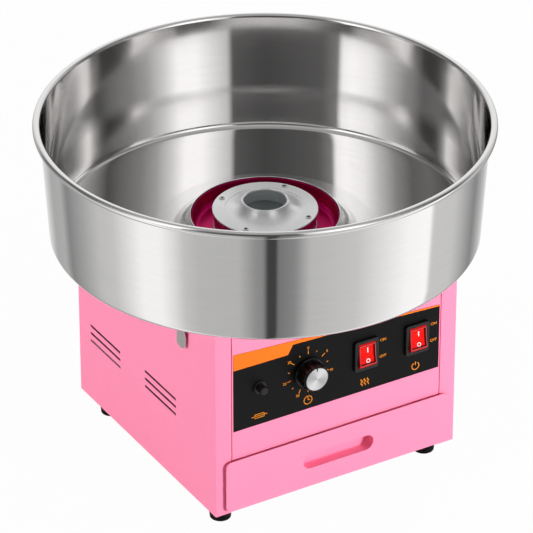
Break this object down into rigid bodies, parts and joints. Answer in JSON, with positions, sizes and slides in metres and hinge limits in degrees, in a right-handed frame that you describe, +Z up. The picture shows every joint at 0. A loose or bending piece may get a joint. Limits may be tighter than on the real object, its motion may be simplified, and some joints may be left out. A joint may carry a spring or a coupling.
{
  "type": "candy floss machine",
  "caption": "Tabletop candy floss machine: a wide open steel bowl round a spinning heater head, on a sheet-metal cabinet with a timer, rocker switches, a fuse holder and a drawer.",
  "frame": {"origin": "on the floor under the feet, on the axis of the bowl and the spinner head", "axes": "+Z up; the control panel and the drawer face -Y; +X is to the right of a person who stands at the controls"},
  "size_m": [0.5199, 0.52, 0.404],
  "materials": {
    "pink_paint": "satin powder coat",
    "galvanised_sheet": "galvanised",
    "bowl_steel": "bright polished",
    "zinc_steel": "bright zinc",
    "clip_steel": "satin",
    "spun_aluminium": "turned satin",
    "band_steel": "polished",
    "crimson_enamel": "satin enamel",
    "black_rubber": "matte",
    "label_print": "printed film",
    "black_plastic": "satin",
    "red_plastic": "gloss, translucent",
    "disc_aluminium": "radially spun",
    "timer_case": "plated",
    "shaft_steel": "ground",
    "brass": "turned",
    "phenolic": "moulded",
    "carbon": "graphite",
    "heater_alloy": "oxidised",
    "ceramic": "unglazed",
    "motor_paint": "semi-gloss",
    "winding_copper": "varnished copper",
    "lamination_steel": "oiled",
    "fuse_glass": "clear"
  },
  "bodies": {
    "cabinet": {"base_plate": "pink_paint", "left_side_panel": "pink_paint", "right_side_panel": "pink_paint", "rear_panel": "pink_paint", "rear_panel_screws": "zinc_steel", "top_plate": "galvanised_sheet", "front_panel": "pink_paint", "divider_shelf": "galvanised_sheet", "rubber_feet": "black_rubber", "foot_screws": "zinc_steel", "drawer_runners": "galvanised_sheet", "control_label": "label_print", "fuse_holder_body": "black_plastic", "fuse_holder_nut": "black_plastic", "timer_body": "timer_case", "timer_screws": "zinc_steel", "heat_switch_body": "black_plastic", "power_switch_body": "black_plastic", "burner_dish": "crimson_enamel", "dish_screws": "zinc_steel", "brush_holder": "phenolic", "carbon_brushes": "carbon", "brush_springs": "shaft_steel", "motor_plate": "galvanised_sheet", "mount_rods": "zinc_steel", "motor_housing": "motor_paint", "motor_end_bell": "motor_paint", "shaft_bearings": "shaft_steel", "motor_stator": "winding_copper", "power_inlet": "black_plastic", "inlet_pins": "brass", "terminal_block": "black_plastic"},
    "drawer": {"drawer_tray": "pink_paint", "drawer_front": "pink_paint", "drawer_pull_cup": "pink_paint"},
    "bowl_group": {"bowl": "bowl_steel", "bowl_clip_brackets": "zinc_steel"},
    "left_clip": {"left_bowl_clip": "clip_steel", "left_clip_pad": "black_rubber"},
    "right_clip": {"right_bowl_clip": "clip_steel", "right_clip_pad": "black_rubber"},
    "spinner": {"drive_shaft": "shaft_steel", "head_base": "spun_aluminium", "head_band": "band_steel", "head_spacers": "zinc_steel", "head_top": "spun_aluminium", "head_screws": "zinc_steel", "heating_ring": "heater_alloy", "ceramic_posts": "ceramic", "slip_ring_sleeve": "phenolic", "slip_rings": "brass", "motor_rotor": "lamination_steel", "cooling_fan": "black_plastic"},
    "timer_dial": {"timer_knob": "black_plastic", "timer_shaft": "shaft_steel", "knob_disc": "disc_aluminium"},
    "heat_key": {"heat_rocker": "red_plastic"},
    "power_key": {"power_rocker": "red_plastic"},
    "fuse_link": {"glass_fuse": "fuse_glass"},
    "fuse_cap_group": {"fuse_cap": "black_plastic"}
  },
  "joints": [
    {"name": "head_spin", "type": "hinge", "parent": "cabinet", "child": "spinner", "pos_m": [0, 0, 0.2], "axis": [0, 0, 1], "continuous": true},
    {"name": "bowl_lift", "type": "slide", "parent": "cabinet", "child": "bowl_group", "axis": [0, 0, 1], "range_m": [0, 0.15]},
    {"name": "drawer_slide", "type": "slide", "parent": "cabinet", "child": "drawer", "axis": [0, -1, 0], "range_m": [0, 0.23]},
    {"name": "left_clip_swing", "type": "hinge", "parent": "bowl_group", "child": "left_clip", "pos_m": [-0.1645, -0.09, 0.25], "axis": [0, 1, 0], "range_deg": [0, 25], "stiffness_Nm_per_rad": 0.3, "springref_deg": -11.46},
    {"name": "right_clip_swing", "type": "hinge", "parent": "bowl_group", "child": "right_clip", "pos_m": [0.1645, 0.09, 0.25], "axis": [0, -1, 0], "range_deg": [0, 25], "stiffness_Nm_per_rad": 0.3, "springref_deg": -11.46},
    {"name": "timer_turn", "type": "hinge", "parent": "cabinet", "child": "timer_dial", "pos_m": [-0.0385, -0.165, 0.167], "axis": [0, 1, 0], "range_deg": [0, 308]},
    {"name": "heat_rock", "type": "hinge", "parent": "cabinet", "child": "heat_key", "pos_m": [0.0362, -0.154, 0.167], "axis": [1, 0, 0], "range_deg": [0, 14]},
    {"name": "power_rock", "type": "hinge", "parent": "cabinet", "child": "power_key", "pos_m": [0.1037, -0.154, 0.167], "axis": [1, 0, 0], "range_deg": [0, 14]},
    {"name": "fuse_pull", "type": "slide", "parent": "cabinet", "child": "fuse_link", "axis": [0, -1, 0], "range_m": [0, 0.04]},
    {"name": "fuse_cap_turn", "type": "hinge", "parent": "fuse_link", "child": "fuse_cap_group", "pos_m": [-0.1015, -0.165, 0.167], "axis": [0, -1, 0], "range_deg": [0, 90]}
  ]
}
